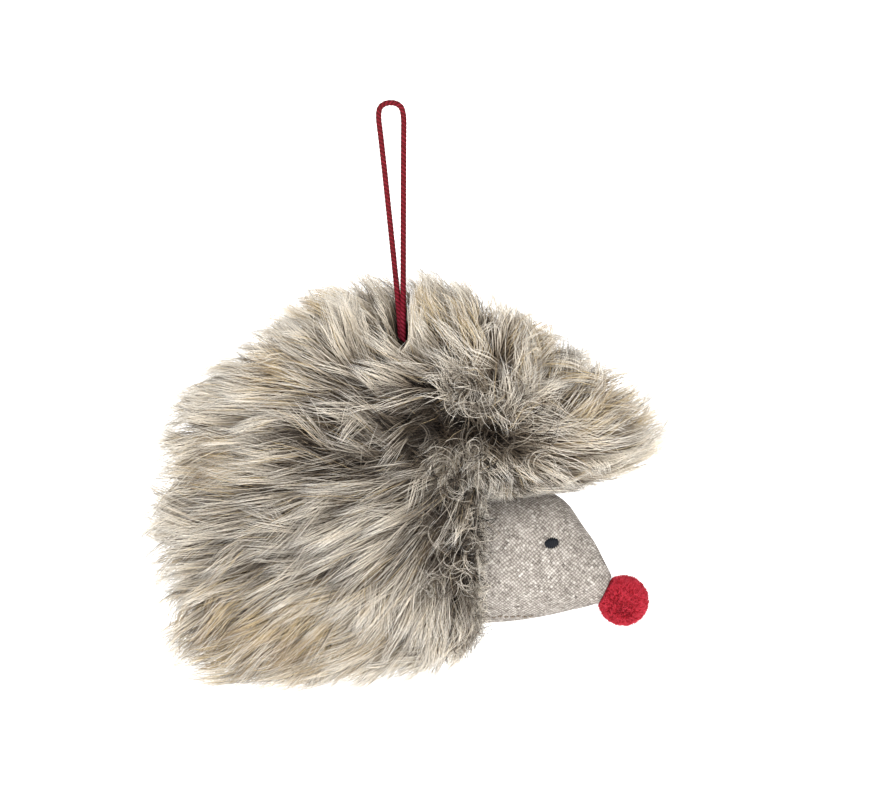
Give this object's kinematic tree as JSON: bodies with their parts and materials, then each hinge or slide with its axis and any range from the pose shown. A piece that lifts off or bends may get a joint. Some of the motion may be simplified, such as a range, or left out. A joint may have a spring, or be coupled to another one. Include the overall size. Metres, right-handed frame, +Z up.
{
  "type": "hanging hedgehog ornament",
  "caption": "Stuffed hedgehog ornament with a shaggy faux-fur coat, a pointed linen face, stitched eyes and a red pompom nose, hung by a loop of twisted cord",
  "frame": {"origin": "where a hook bears inside the top of the hanging loop", "axes": "+X from the rump to the nose, +Y to the animal's left, +Z up"},
  "size_m": [0.1391, 0.065, 0.1681],
  "materials": {
    "fur": "matte",
    "stuffing": "matte",
    "linen": "matte",
    "eye_silk": "satin",
    "brown_thread": "matte",
    "pompom_yarn": "matte",
    "red_thread": "matte",
    "red_cord": "satin",
    "sewing_thread": "matte"
  },
  "bodies": {
    "cord": {"hanging_loop": "red_cord"},
    "knot": {"loop_knot": "red_cord"},
    "stitches": {"loop_stitches": "sewing_thread"},
    "hedgehog": {"fur_panel_right": "fur", "fur_panel_left": "fur", "body_stuffing": "stuffing", "head_stuffing": "stuffing", "face_panel_right": "linen", "face_panel_left": "linen", "eye_right": "eye_silk", "eye_left": "eye_silk", "eye_thread": "brown_thread", "coat_seam_thread": "brown_thread", "face_seam_thread": "brown_thread", "neck_seam_thread": "brown_thread", "chin_stitches": "brown_thread"},
    "nose_shank": {"nose_thread": "red_thread"},
    "nose": {"nose_pompom": "pompom_yarn", "nose_binding": "red_thread"}
  },
  "joints": [
    {"name": "turn_on_cord", "type": "hinge", "parent": "cord", "child": "knot", "pos_m": [0.0025, 0, -0.072], "axis": [0, 0, 1], "range_deg": [-180, 180]},
    {"name": "tilt_sideways", "type": "hinge", "parent": "knot", "child": "stitches", "pos_m": [0.0025, 0, -0.072], "axis": [1, 0, 0], "range_deg": [-10, 10]},
    {"name": "swing_fore_aft", "type": "hinge", "parent": "stitches", "child": "hedgehog", "pos_m": [0.0025, 0, -0.072], "axis": [0, 1, 0], "range_deg": [-20, 20]},
    {"name": "nose_nod", "type": "hinge", "parent": "hedgehog", "child": "nose_shank", "pos_m": [0.0614, 0, -0.1381], "axis": [0, 1, 0], "range_deg": [-6, 6], "stiffness_Nm_per_rad": 0.0005},
    {"name": "nose_turn", "type": "hinge", "parent": "nose_shank", "child": "nose", "pos_m": [0.0614, 0, -0.1381], "axis": [0.4305, 0, 0.9026], "range_deg": [-6, 6], "stiffness_Nm_per_rad": 0.0005}
  ]
}
